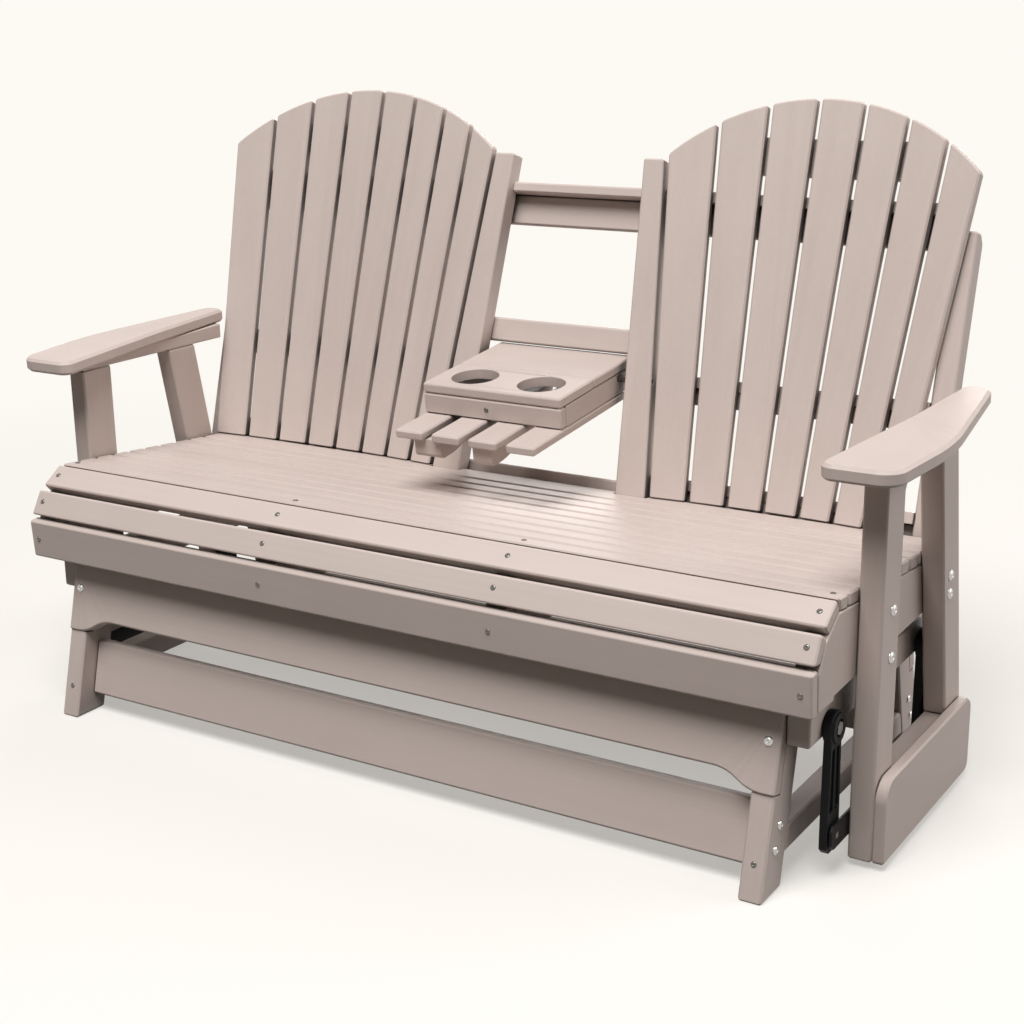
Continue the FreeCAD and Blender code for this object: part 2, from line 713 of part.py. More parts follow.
# Fans of back slats round a shallow hollow: each slat widens upwards and all tops lie on one arc
def fan(count, outer, skew):
    reach_up = FAN_PEAK + BOARD
    width = outer(FAN_HOLLOW_UP) - fan_inner(FAN_HOLLOW_UP)

    def skewed(share):
        return share - skew * share * (1 - share)

    def edge(i, up):
        return spread(fan_inner(up), outer(up), skewed(i / count))

    inner_end = back_plane(fan_inner(fan_inner_top), fan_inner_top, -BOARD)
    outer_end = back_plane(outer(fan_inner_top), fan_outer_top, -BOARD)
    peak = back_plane((fan_inner(fan_inner_top) + outer(fan_inner_top)) / 2, FAN_PEAK, -BOARD)
    low_outer_corner = back_plane(outer(fan_inner_top), FAN_LOW, -BOARD)
    low_inner_corner = back_plane(fan_inner(fan_inner_top), FAN_LOW, -BOARD)
    limit = Part.Wire([
        Part.Arc(inner_end, peak, outer_end).toShape(),
        Part.makeLine(outer_end, low_outer_corner),
        Part.makeLine(low_outer_corner, low_inner_corner),
        Part.makeLine(low_inner_corner, inner_end),
    ])
    limit = Part.Face(limit).extrude(back_plane(0, 0, 2 * BOARD) - back_plane(0, 0, -BOARD))
    seat_x = (-2 * SEAT_HALF, 2 * SEAT_HALF)
    limit = limit.cut(block(seat_plane, seat_x, (0, 2 * seat_run), (-BOARD, SLAT + FAN_FOOT_GAP)))
    made = []
    for i in range(count):
        share = (skewed(i / count) + skewed((i + 1) / count)) / 2
        depth = 4 * FAN_HOLLOW * share * (1 - share)
        turn = math.atan(4 * FAN_HOLLOW * (1 - 2 * share) / width)

        def turned(x, up, behind):
            centre = spread(fan_inner(up), outer(up), share)
            across = (x - centre) * math.cos(turn) - behind * math.sin(turn)
            back = (x - centre) * math.sin(turn) + behind * math.cos(turn)
            return back_plane(centre + across, up, depth + back)

        half_gap = FAN_GAP / 2
        outline = (
            (edge(i, FAN_LOW) + half_gap, FAN_LOW),
            (edge(i + 1, FAN_LOW) - half_gap, FAN_LOW),
            (edge(i + 1, reach_up) - half_gap, reach_up),
            (edge(i, reach_up) + half_gap, reach_up),
        )
        slat = panel(turned, outline, 0, THIN).common(limit).Solids[0]
        made.append(eased(slat))
    return made


nodes["fan_slats_right"] = fan(RIGHT_SLATS, right_outer, RIGHT_SKEW)
nodes["fan_slats_left"] = [mirror_x(slat) for slat in fan(LEFT_SLATS, left_outer, LEFT_SKEW)]

# Back rails
rail_x = (-left_in, right_in)
rail_depth = (BOARD, BOARD + THIN)
top_depth = (BOARD + TOP_RAIL_SETBACK, BOARD + TOP_RAIL_SETBACK + THIN)
tail_corner = console_plane(0, -CONSOLE_TAIL, PIVOT_BELOW)
tail_up = (tail_corner.y - BACK_Y) * math.sin(LEAN) + (tail_corner.z - BACK_Z) * math.cos(LEAN)
mid_up = (tail_up + STOP_CLEARANCE, tail_up + STOP_CLEARANCE + MID_RAIL_HEIGHT)
mid_x = (-post_out(mid_up[1]), post_out(mid_up[1]))
cap_up = (CAP_HIGH - THIN, CAP_HIGH)
top_up = (cap_up[0] - TOP_RAIL_HEIGHT, cap_up[0])
low_up = (LOW_RAIL_HIGH - LOW_RAIL_HEIGHT, LOW_RAIL_HIGH)
nodes["back_mid_rail"] = [eased(block(back_plane, mid_x, mid_up, rail_depth))]
nodes["back_top_rail"] = [eased(block(back_plane, rail_x, top_up, top_depth))]
nodes["back_low_rail"] = [eased(block(back_plane, rail_x, low_up, rail_depth))]


# Room that a fan's hollow takes from the front of a rib behind it
rib_front = THIN + RIB_CLEARANCE


def hollow(outer, up):
    middle_up = (up[0] + up[1]) / 2
    ends = (fan_inner(middle_up), outer(middle_up))
    start = back_plane(ends[0], up[0], rib_front)
    deepest = back_plane((ends[0] + ends[1]) / 2, up[0], rib_front + FAN_HOLLOW)
    end = back_plane(ends[1], up[0], rib_front)
    face = Part.Face(Part.Wire([Part.Arc(start, deepest, end).toShape(), Part.makeLine(end, start)]))
    return face.extrude(back_plane(0, up[1], 0) - back_plane(0, up[0], 0))


def rib(outer, across, up):
    return block(back_plane, across, up, (rib_front, rail_depth[1])).cut(hollow(outer, up))


# Cap strip over the top rail
cap_x = (-left_in + CAP_END_GAP, right_in - CAP_END_GAP)
cap = eased(block(back_plane, cap_x, cap_up, (rib_front, top_depth[1])))
for hand in (-1, 1):
    notch_sides = sorted((hand * post_in(CAP_HIGH), hand * post_out(cap_up[0])))
    cap = cap.cut(block(back_plane, notch_sides, (0, POST_HIGH), (0, BOARD)))
cap = cap.cut(hollow(right_outer, cap_up))
nodes["back_cap_strip"] = [cap.cut(mirror_x(hollow(left_outer, cap_up)))]


# Battens behind one fan: a ledge on the low rail, a ledge over a short rail and one under the arch
def fan_battens(upright_in, outer):
    low_ledge_up = (LOW_RAIL_HIGH, LOW_RAIL_HIGH + THIN)
    ledge_up = (FAN_LEDGE_HIGH - THIN, FAN_LEDGE_HIGH)
    fan_rail_up = (ledge_up[0] - FAN_RAIL_HEIGHT, ledge_up[0])
    arch_up = (ARCH_BATTEN_LOW, ARCH_BATTEN_LOW + ARCH_BATTEN_HEIGHT)
    across = (post_out(LOW_RAIL_HIGH) + BATTEN_GAP, upright_in)
    arch_x = (fan_inner(arch_up[0]) + ARCH_BATTEN_INSET, outer(arch_up[0]) - ARCH_BATTEN_INSET)
    return [
        rib(outer, across, low_ledge_up),
        rib(outer, across, ledge_up),
        block(back_plane, across, fan_rail_up, rail_depth),
        rib(outer, arch_x, arch_up),
    ]


left_battens = [mirror_x(batten) for batten in fan_battens(left_in, left_outer)]
nodes["back_battens"] = fan_battens(right_in, right_outer) + left_battens

# Console: boards round a tray, slats below, cup holes in the front top board
top_above = (PIVOT_BELOW - THIN, PIVOT_BELOW)
box_above = (PIVOT_BELOW - CONSOLE_HEIGHT, PIVOT_BELOW - THIN)
slat_above = (box_above[0] - CONSOLE_SLAT, box_above[0])
console_x = (-CONSOLE_HALF, CONSOLE_HALF)
seam = CONSOLE_FRONT - CONSOLE_SEAM
top_front = eased(block(console_plane, console_x, (seam, CONSOLE_FRONT), top_above))
cup_axis = console_plane(0, 0, 1) - console_plane(0, 0, 0)
for cup_x in (-CUP_X, CUP_X):
    cup_low = console_plane(cup_x, CONSOLE_FRONT - CUP_BACK, 0)
    top_front = top_front.cut(Part.makeCylinder(CUP_R, 2 * PIVOT_BELOW, cup_low, cup_axis))
nodes["console_top_front"] = [top_front]

rear_ahead = (-CONSOLE_TAIL, seam - CONSOLE_SEAM_GAP)
nodes["console_top_rear"] = [eased(block(console_plane, console_x, rear_ahead, top_above))]

front_ahead = (CONSOLE_FRONT - THIN, CONSOLE_FRONT)
nodes["console_front_board"] = [eased(block(console_plane, console_x, front_ahead, box_above))]

side_ahead = (-CONSOLE_TAIL, CONSOLE_FRONT - THIN)
side_x = (CONSOLE_HALF - THIN, CONSOLE_HALF)
console_side_board = block(console_plane, side_x, side_ahead, box_above)
pin_hole = rod(PIVOT_R + RUN, 0, SEAT_HALF, PIVOT.y, PIVOT.z)
console_side_board = console_side_board.cut(pin_hole)
nodes["console_side_boards"] = [console_side_board, mirror_x(console_side_board)]

console_slats = []
slat_pitch = CONSOLE_SLAT_WIDTH + CONSOLE_SLAT_GAP
slat_ahead = (-CONSOLE_SLAT_TAIL, CONSOLE_FRONT + CONSOLE_NOSE)
for i in range(CONSOLE_SLATS):
    middle = (i - (CONSOLE_SLATS - 1) / 2) * slat_pitch
    across = (middle - CONSOLE_SLAT_WIDTH / 2, middle + CONSOLE_SLAT_WIDTH / 2)
    console_slats.append(eased(block(console_plane, across, slat_ahead, slat_above)))
nodes["console_slats"] = console_slats

block_front = CONSOLE_FRONT + CONSOLE_NOSE - BLOCK_SETBACK
block_top = slat_above[0]
block_outline = (
    (block_front, block_top),
    (block_front, block_top - BLOCK_DROP, BLOCK_CORNER),
    (block_front - BLOCK_FLAT, block_top - BLOCK_DROP, BLOCK_LENGTH),
    (block_front - BLOCK_LENGTH, block_top - BLOCK_CORNER, BLOCK_CORNER),
    (block_front - BLOCK_LENGTH, block_top),
)
rest_blocks = []
for middle, width in ((LEFT_BLOCK_X, LEFT_BLOCK_WIDTH), (RIGHT_BLOCK_X, RIGHT_BLOCK_WIDTH)):
    rest_blocks.append(panel(console_side, block_outline, middle - width / 2, middle + width / 2))
nodes["console_rest_blocks"] = rest_blocks

collar = (CONSOLE_HALF + FLOAT, post_in(PIVOT_UP + PIN_COLLAR_R) - FLOAT)
pin = rod(PIVOT_R, CONSOLE_HALF - THIN, collar[0], PIVOT.y, PIVOT.z)
neck = bar(SQUARE, PIVOT_R, collar[1], collar[1] + PIN_IN_POST, PIVOT.y, PIVOT.z)
pin = pin.fuse([neck, bar(HEXAGON, PIN_COLLAR_R, collar[0], collar[1], PIVOT.y, PIVOT.z)])
pin = pin.removeSplitter()
nodes["console_pivot_pins"] = [pin, mirror_x(pin)]

# The origin is under the middle of the whole bench, on the floor
everything = Part.makeCompound([solid for solids in nodes.values() for solid in solids])
extent = everything.optimalBoundingBox(False, False)
to_origin = FreeCAD.Vector(0, -(extent.YMin + extent.YMax) / 2, 0)

for name, solids in nodes.items():
    shape = solids[0] if len(solids) == 1 else Part.makeCompound(solids)
    shape.translated(to_origin).exportStep("parts/" + name + ".step")
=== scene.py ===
import json
import math
from collections import namedtuple

import bmesh
import bpy
from mathutils import Matrix, Vector


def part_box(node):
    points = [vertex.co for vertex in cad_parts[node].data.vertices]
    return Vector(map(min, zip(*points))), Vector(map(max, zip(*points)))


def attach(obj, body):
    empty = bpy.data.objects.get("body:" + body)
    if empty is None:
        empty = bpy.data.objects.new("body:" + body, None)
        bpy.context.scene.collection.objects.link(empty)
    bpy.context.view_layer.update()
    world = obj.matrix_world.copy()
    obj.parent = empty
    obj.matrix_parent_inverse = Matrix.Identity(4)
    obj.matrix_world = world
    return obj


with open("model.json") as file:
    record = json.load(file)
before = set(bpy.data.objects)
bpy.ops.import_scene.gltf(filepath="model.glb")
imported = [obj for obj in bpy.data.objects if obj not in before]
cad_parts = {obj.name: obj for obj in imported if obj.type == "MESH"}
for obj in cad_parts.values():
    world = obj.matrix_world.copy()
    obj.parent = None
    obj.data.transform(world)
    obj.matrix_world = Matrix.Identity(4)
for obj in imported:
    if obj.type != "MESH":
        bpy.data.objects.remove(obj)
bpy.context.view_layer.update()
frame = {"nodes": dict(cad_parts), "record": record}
nodes = frame["nodes"]
scene = bpy.context.scene

# Camera, in metres, degrees and millimetres
AZIMUTH = 32.07
ELEVATION = 16.48
ROLL = -0.8
DISTANCE = 2.984
TARGET = Vector((0.0835, -0.0568, 0.4232))
LENS_MM = 60.93
SENSOR_MM = 36.0
FARTHEST = 200.0

# Colours, linear
CREAM = (0.982, 0.952, 0.901, 1)
BLACK = (0, 0, 0, 1)
FLOOR_TONE = (0.50, 0.486, 0.462, 1)
AMBIENT_TONE = (1.0, 0.86, 0.76, 1)
LUMBER_DARK = (0.535, 0.448, 0.408, 1)
LUMBER_LIGHT = (0.655, 0.56, 0.515, 1)
BLACK_COAT = (0.004, 0.004, 0.0045, 1)
BLACK_COAT_LIGHT = (0.010, 0.010, 0.011, 1)
ACETAL = (0.03, 0.03, 0.032, 1)
STEEL = (0.56, 0.55, 0.54, 1)
STEEL_DARK = (0.38, 0.37, 0.36, 1)
# Screws and the console's pivot pins: steel painted far darker than bare steel, as painted shade of the
# holes they sit in
SCREW_SHADED_PALE = (0.20, 0.19, 0.18, 1)
SCREW_SHADED_DARK = (0.11, 0.105, 0.10, 1)

# The part of a noise texture's range that its values mostly lie in
NOISE_LOW = 0.3
NOISE_HIGH = 0.7

# Lumber: waves per metre along and across a board, and how far each pattern shifts the tone
GRAIN_ALONG = 2.2
GRAIN_ACROSS = 240.0
STREAK_ALONG = 0.7
STREAK_ACROSS = 26.0
MOTTLE = 7.0
GRAIN_SHIFT = 0.10
STREAK_SHIFT = 0.09
MOTTLE_SHIFT = 0.07
BOARD_SHIFT = 0.10
MIDDLE_TONE = 0.5
LUMBER_ROUGHNESS = (0.46, 0.60)
LUMBER_SPECULAR = 0.32
LUMBER_BUMP = 0.16
LUMBER_BUMP_HEIGHT = 0.0005

# Painted shade in the gaps: how near a neighbour counts, the open shares between which a board darkens,
# and how much of its colour is left in a closed gap
GAP_REACH = 0.09
GAP_CLOSED = 0.08
GAP_OPEN = 0.5
GAP_SHADE = 0.12
GAP_SAMPLES = 8

# Black coats, and bare metal with fine lines: waves per metre, gloss and bump
COAT_MOTTLE = 30.0
COAT_ROUGHNESS_SHIFT = 0.08
COAT_SPECULAR = 0.14
COAT_BUMP_HEIGHT = 0.0004
METAL_LINES = (900.0, 900.0, 120.0)
METAL_MOTTLE = 160.0
METAL_ROUGHNESS = (0.22, 0.36)
METAL_BUMP = 0.06
METAL_BUMP_HEIGHT = 0.0002

# Rounds on the edges of the CAD nodes, by material slot, in metres and degrees
EDGE_ROUND = {"lumber": 0.0025, "link": 0.00125, "strap": 0.00125}
EDGE_STEPS = 3
EDGE_ANGLE = 25
WELD_REACH = 0.00002
FACE_WEIGHT = 100

# Floor and background: the floor keeps its shadow up to SHADOW_NEAR from the middle, and turns
# into the background by SHADOW_FAR; BOUNCE is the share of its light that it gives the bench
FLOOR_HALF = 40.0
FLOOR_ROUGHNESS = 0.9
SHADOW_NEAR = 1.3
SHADOW_FAR = 3.2
GLOW_NEAR = 0.43
BOUNCE = 0.2
AMBIENT = 0.1
LAMP_AIM = Vector((0, 0, 0.45))


def new_material(name):
    material = bpy.data.materials.new(name)
    material.use_nodes = True
    tree = material.node_tree
    return material, tree, tree.nodes["Principled BSDF"]


def add(tree, kind, **values):
    node = tree.nodes.new(kind)
    for key, value in values.items():
        setattr(node, key, value)
    return node


def scaled_noise(tree, scale, detail, roughness):
    place = add(tree, "ShaderNodeTexCoord")
    mapping = add(tree, "ShaderNodeMapping")
    mapping.inputs["Scale"].default_value = scale
    noise = add(tree, "ShaderNodeTexNoise")
    noise.inputs["Scale"].default_value = 1.0
    noise.inputs["Detail"].default_value = detail
    noise.inputs["Roughness"].default_value = roughness
    tree.links.new(place.outputs["Object"], mapping.inputs["Vector"])
    tree.links.new(mapping.outputs["Vector"], noise.inputs["Vector"])
    return noise.outputs["Fac"]


def spread(tree, value, low, high, from_low=NOISE_LOW, from_high=NOISE_HIGH):
    node = add(tree, "ShaderNodeMapRange")
    node.inputs["From Min"].default_value = from_low
    node.inputs["From Max"].default_value = from_high
    node.inputs["To Min"].default_value = low
    node.inputs["To Max"].default_value = high
    tree.links.new(value, node.inputs["Value"])
    return node.outputs["Result"]


def combine(tree, operation, first, second):
    node = add(tree, "ShaderNodeMath", operation=operation)
    tree.links.new(first, node.inputs[0])
    tree.links.new(second, node.inputs[1])
    return node.outputs["Value"]


def total(tree, *values):
    result = values[0]
    for value in values[1:]:
        result = combine(tree, "ADD", result, value)
    return result


def two_tone(tree, factor, dark, light):
    ramp = add(tree, "ShaderNodeValToRGB")
    ramp.color_ramp.elements[0].color = dark
    ramp.color_ramp.elements[1].color = light
    tree.links.new(factor, ramp.inputs["Fac"])
    return ramp.outputs["Color"]


def add_bump(tree, shader, pattern, strength, height):
    bump = add(tree, "ShaderNodeBump")
    bump.inputs["Strength"].default_value = strength
    bump.inputs["Distance"].default_value = height
    tree.links.new(pattern, bump.inputs["Height"])
    tree.links.new(bump.outputs["Normal"], shader.inputs["Normal"])


def painted_shade_in_gaps(tree, colour):
    """The colour with painted shade: darkened where a board's side or a hole's wall has something close
    before it.
    """
    opening = add(tree, "ShaderNodeAmbientOcclusion", samples=GAP_SAMPLES)
    opening.inputs["Distance"].default_value = GAP_REACH
    shade = add(tree, "ShaderNodeVectorMath", operation="SCALE")
    tree.links.new(colour, shade.inputs["Vector"])
    share = spread(tree, opening.outputs["AO"], GAP_SHADE, 1.0, GAP_CLOSED, GAP_OPEN)
    tree.links.new(share, shade.inputs["Scale"])
    return shade.outputs["Vector"]


def drawn_out(axis, along, across):
    """The noise scale of a pattern that is drawn out along one axis."""
    scale = [across] * 3
    scale[axis] = along
    return scale


def lumber(name, axis):
    """Matt poly lumber with fine lines along the board, its own tone for each board, and painted shade
    in its gaps.
    """
    material, tree, shader = new_material(name)
    grain = scaled_noise(tree, drawn_out(axis, GRAIN_ALONG, GRAIN_ACROSS), detail=5.0, roughness=0.65)
    streak = scaled_noise(tree, drawn_out(axis, STREAK_ALONG, STREAK_ACROSS), detail=4.0, roughness=0.55)
    mottle = scaled_noise(tree, [MOTTLE] * 3, detail=3.0, roughness=0.5)
    board = add(tree, "ShaderNodeNewGeometry").outputs["Random Per Island"]
    tone = total(
        tree,
        spread(tree, grain, -GRAIN_SHIFT, GRAIN_SHIFT),
        spread(tree, streak, -STREAK_SHIFT, STREAK_SHIFT),
        spread(tree, mottle, -MOTTLE_SHIFT, MOTTLE_SHIFT),
        spread(tree, board, MIDDLE_TONE - BOARD_SHIFT, MIDDLE_TONE + BOARD_SHIFT, 0.0, 1.0),
    )
    # Painted shade: the board's tone is darkened where its gaps and holes close in
    colour = painted_shade_in_gaps(tree, two_tone(tree, tone, LUMBER_DARK, LUMBER_LIGHT))
    tree.links.new(colour, shader.inputs["Base Color"])
    tree.links.new(spread(tree, grain, *LUMBER_ROUGHNESS), shader.inputs["Roughness"])
    shader.inputs["Specular IOR Level"].default_value = LUMBER_SPECULAR
    add_bump(tree, shader, total(tree, grain, streak), LUMBER_BUMP, LUMBER_BUMP_HEIGHT)
    return material


def coated(name, dark, light, roughness, grit, bump):
    """A black coat or moulding with a fine grit, as many waves per metre as grit says."""
    material, tree, shader = new_material(name)
    fine = scaled_noise(tree, [grit] * 3, detail=3.0, roughness=0.6)
    broad = scaled_noise(tree, [COAT_MOTTLE] * 3, detail=3.0, roughness=0.5)
    tree.links.new(two_tone(tree, broad, dark, light), shader.inputs["Base Color"])
    gloss = spread(tree, fine, roughness - COAT_ROUGHNESS_SHIFT, roughness + COAT_ROUGHNESS_SHIFT)
    tree.links.new(gloss, shader.inputs["Roughness"])
    shader.inputs["Specular IOR Level"].default_value = COAT_SPECULAR
    add_bump(tree, shader, fine, bump, COAT_BUMP_HEIGHT)
    return material


def metal(name, dark, light):
    """Bare metal with fine lines."""
    material, tree, shader = new_material(name)
    lines = scaled_noise(tree, METAL_LINES, detail=3.0, roughness=0.5)
    broad = scaled_noise(tree, [METAL_MOTTLE] * 3, detail=2.0, roughness=0.5)
    shader.inputs["Metallic"].default_value = 1.0
    tree.links.new(two_tone(tree, broad, dark, light), shader.inputs["Base Color"])
    tree.links.new(spread(tree, lines, *METAL_ROUGHNESS), shader.inputs["Roughness"])
    add_bump(tree, shader, lines, METAL_BUMP, METAL_BUMP_HEIGHT)
    return material


LUMBER = [lumber("lumber_" + "xyz"[axis], axis) for axis in range(3)]
COATS = {
    "link": coated("cast_black", BLACK_COAT, BLACK_COAT_LIGHT, roughness=0.48, grit=700.0, bump=0.22),
    "strap": coated("coated_steel", BLACK_COAT, BLACK_COAT_LIGHT, roughness=0.38, grit=900.0, bump=0.12),
    "bush": coated("acetal", ACETAL, BLACK_COAT_LIGHT, roughness=0.35, grit=500.0, bump=0.05),
    "stainless": metal("stainless", STEEL_DARK, STEEL),
}
# Steel darkened by painted shade, for the screw heads and the pivot pins
SCREW_SHADED_METAL = metal("screw_steel_painted_shade", SCREW_SHADED_DARK, SCREW_SHADED_PALE)

# Boards that run upwards or from front to back; all other boards run along the bench
UPWARD = ("base_leg", "front_post", "rear_post", "centre_post", "outer_upright", "fan_slats")
FORE_AFT = (
    "base_lower", "base_upper", "bottom_rail", "side_board", "arm", "seat_rail", "seat_inner",
    "console_side", "console_slats", "console_rest",
)


def board_axis(name):
    if name.startswith(UPWARD):
        return 2
    return 1 if name.startswith(FORE_AFT) else 0


def node_material(name, slot_name):
    # The pivot pins take the screws' steel with painted shade
    if name == "console_pivot_pins":
        return SCREW_SHADED_METAL
    return LUMBER[board_axis(name)] if slot_name == "lumber" else COATS[slot_name]


def dress(name, node, slot_name):
    """Gives a CAD node its material and, where its edges show, small rounds."""
    node.data.materials.clear()
    node.data.materials.append(node_material(name, slot_name))
    weld = node.modifiers.new("join", "WELD")
    weld.merge_threshold = WELD_REACH
    if slot_name in EDGE_ROUND:
        bevel = node.modifiers.new("round", "BEVEL")
        bevel.width = EDGE_ROUND[slot_name]
        bevel.segments = EDGE_STEPS
        bevel.limit_method = "ANGLE"
        bevel.angle_limit = math.radians(EDGE_ANGLE)
        flat = node.modifiers.new("flat", "WEIGHTED_NORMAL")
        flat.weight = FACE_WEIGHT
        flat.keep_sharp = True


for part in frame["record"]["subparts"]:
    dress(part["node"], nodes[part["node"]], part["material_slot"])

# Heads of screws and bolts: a profile's points and the recess are in shares of the head's radius
Head = namedtuple("Head", "radius profile recess_sides recess_reach material")
HEAD_SIDES = 24
RECESS_DEPTH = 0.28
SCREW_PROFILE = ((1.0, -0.12), (1.0, 0.10), (0.92, 0.22), (0.72, 0.32), (0.55, 0.36))
BOLT_PROFILE = ((1.0, -0.12), (1.0, 0.08), (0.95, 0.2), (0.82, 0.34), (0.62, 0.44), (0.45, 0.48))
SCREW = Head(0.0046, SCREW_PROFILE, 4, 0.42, SCREW_SHADED_METAL)
POST_BOLT = Head(0.0095, BOLT_PROFILE, 6, 0.30, COATS["stainless"])
BASE_BOLT = POST_BOLT._replace(radius=0.0076)

# Directions
UP = Vector((0, 0, 1))
FRONT = Vector((0, -1, 0))
BEHIND_BACK = Vector((0, 0.963, -0.271))
HANDS = {"left": -1, "right": 1}

# Places of the fasteners, in metres; what isn't given here comes from the boxes of the nodes.
# Seat: the rails below the slats, the way each nose slat faces, and the front slat's middle as a
# share of the slats' pitch
SEAT_RAIL_X = (-0.748, -0.230, 0.230, 0.748)
NOSE_FACING = {
    "seat_apron_slat": FRONT,
    "seat_nose_slat_lower": Vector((0, -0.863, 0.505)),
    "seat_nose_slat_upper": Vector((0, -0.563, 0.826)),
}
FLAT_SLATS = 10
SLAT_MIDDLE = 0.45

# Back: the slats of each fan, the short rails' height, and how much narrower a fan is at the low
# rail than at the top rail
FAN_SLATS = {"left": 8, "right": 7}
FAN_RAIL_Z = 0.577
FAN_NARROWS_INSIDE = 0.04
FAN_NARROWS_OUTSIDE = 0.085

# Posts, base and console; a leg's bolts are given by the way in from its toe and their height
FRONT_POST_BOLTS_Z = (0.405, 0.331)
FRONT_POST_BOLTS_BACK = 0.006
REAR_POST_BOLTS_Z = (0.382, 0.351)
REAR_POST_BOLTS_Y = 0.103
APRON_BOLT_Z = 0.236
LEG_SCREW_Z = 0.057
LEG_BOLTS = ((0.061, 0.105), (0.046, 0.070))
CONSOLE_SCREW_SHIFT = Vector((-0.010, 0, 0))

# How far outside a face the search for it starts
SIGHT = 0.5


def head_mesh(mesh, matrix, head):
    """A turned head with rings from the rim inwards and a drive recess in the middle."""
    angles = [2 * math.pi * i / HEAD_SIDES for i in range(HEAD_SIDES)]

    def ring(reaches, height):
        points = [(r * math.cos(a), r * math.sin(a), height) for r, a in zip(reaches, angles)]
        return [mesh.verts.new(matrix @ Vector(point)) for point in points]

    rings = [ring([reach] * HEAD_SIDES, height) for reach, height in head.profile]
    sector = math.pi / head.recess_sides
    turns = [(angle + sector) % (2 * sector) - sector for angle in angles]
    recess = [head.recess_reach * math.cos(sector) / math.cos(turn) for turn in turns]
    top = head.profile[-1][1]
    rings += [ring(recess, top), ring(recess, top - RECESS_DEPTH)]
    for low, high in zip(rings, rings[1:]):
        for i in range(HEAD_SIDES):
            j = (i + 1) % HEAD_SIDES
            mesh.faces.new((low[i], low[j], high[j], high[i]))
    mesh.faces.new(rings[-1])


def fasteners(name, body, places, head):
    """All the heads of one kind on one body; each place is a point and the direction it faces."""
    mesh = bmesh.new()
    for point, facing in places:
        turn = facing.to_track_quat("Z", "Y").to_matrix().to_4x4()
        head_mesh(mesh, Matrix.Translation(point) @ turn @ Matrix.Scale(head.radius, 4), head)
    data = bpy.data.meshes.new(name)
    mesh.to_mesh(data)
    mesh.free()
    for polygon in data.polygons:
        polygon.use_smooth = True
    data.materials.append(head.material)
    piece = bpy.data.objects.new(name, data)
    scene.collection.objects.link(piece)
    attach(piece, body)


def on_face(node_name, point, facing):
    """Where a line against facing through the point first meets the node, and the face's normal."""
    facing = facing.normalized()
    hit, spot, normal, _ = nodes[node_name].ray_cast(point + facing * SIGHT, -facing)
    if not hit:
        raise ValueError("no face of " + node_name + " at " + str(tuple(point)))
    return spot, normal


def middle(node_name):
    low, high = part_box(node_name)
    return (low + high) / 2


def seat_screws():
    """Over the seat rails, in the apron slat, the nose slats and the first flat slat."""
    places = []
    for name, facing in NOSE_FACING.items():
        centre = middle(name)
        for x in SEAT_RAIL_X:
            places.append(on_face(name, Vector((x, centre.y, centre.z)), facing))
    low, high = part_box("seat_flat_slats")
    y = low.y + SLAT_MIDDLE * (high.y - low.y) / FLAT_SLATS
    for x in SEAT_RAIL_X:
        places.append(on_face("seat_flat_slats", Vector((x, y, high.z)), UP))
    return places


def back_screws():
    """Through the back rails, one in the middle of each fan slat that a rail reaches."""
    places = []
    low_rail = middle("back_low_rail")
    top_rail = middle("back_top_rail")
    rails = {"back_low_rail": low_rail.z, "back_battens": FAN_RAIL_Z, "back_top_rail": top_rail.z}
    for label, count in FAN_SLATS.items():
        hand = HANDS[label]
        fan_low, fan_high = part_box("fan_slats_" + label)
        inner, outer = sorted((abs(fan_low.x), abs(fan_high.x)))
        for name, z in rails.items():
            share = (z - low_rail.z) / (top_rail.z - low_rail.z)
            y = low_rail.y + share * (top_rail.y - low_rail.y)
            first = inner + (1 - share) * FAN_NARROWS_INSIDE
            last = outer - (1 - share) * FAN_NARROWS_OUTSIDE
            rail_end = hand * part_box(name)[max(hand, 0)].x
            for i in range(count):
                x = first + (i + 0.5) / count * (last - first)
                if x + SCREW.radius < rail_end:
                    places.append(on_face(name, Vector((hand * x, y, z)), BEHIND_BACK))
    return places


def post_bolts():
    """Through the posts into the seat rails."""
    places = []
    for label, hand in HANDS.items():
        outward = Vector((hand, 0, 0))
        front_post = middle("front_post_" + label)
        for z in FRONT_POST_BOLTS_Z:
            point = Vector((front_post.x, front_post.y + FRONT_POST_BOLTS_BACK, z))
            places.append(on_face("front_post_" + label, point, outward))
        for z in REAR_POST_BOLTS_Z:
            point = Vector((front_post.x, REAR_POST_BOLTS_Y, z))
            places.append(on_face("rear_post_" + label, point, outward))
    return places


def base_fasteners():
    """Bolts through the aprons and the sides of the legs, and a screw in the front of each leg."""
    bolts = []
    screws = []
    for label, hand in HANDS.items():
        outward = Vector((hand, 0, 0))
        for end, facing in (("front", FRONT), ("rear", -FRONT)):
            leg = "base_leg_" + end + "_" + label
            apron = "base_apron_" + end
            x, y, _ = middle(leg)
            bolts.append(on_face(apron, Vector((x, middle(apron).y, APRON_BOLT_Z)), facing))
            screws.append(on_face(leg, Vector((x, y, LEG_SCREW_Z)), facing))
            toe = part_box(leg)[0 if end == "front" else 1].y
            for inset, z in LEG_BOLTS:
                bolts.append(on_face(leg, Vector((x, toe - inset * facing.y, z)), outward))
    return bolts, screws


def console_screws():
    """One in the front board."""
    board = "console_front_board"
    return [on_face(board, middle(board) + CONSOLE_SCREW_SHIFT, FRONT)]


fasteners("seat_screws", "seat", seat_screws(), SCREW)
fasteners("back_screws", "seat", back_screws(), SCREW)
fasteners("seat_bolts", "seat", post_bolts(), POST_BOLT)
base_bolts, base_screws = base_fasteners()
fasteners("base_bolts", "base", base_bolts, BASE_BOLT)
fasteners("base_screws", "base", base_screws, SCREW)
fasteners("console_screws", "console", console_screws(), SCREW)


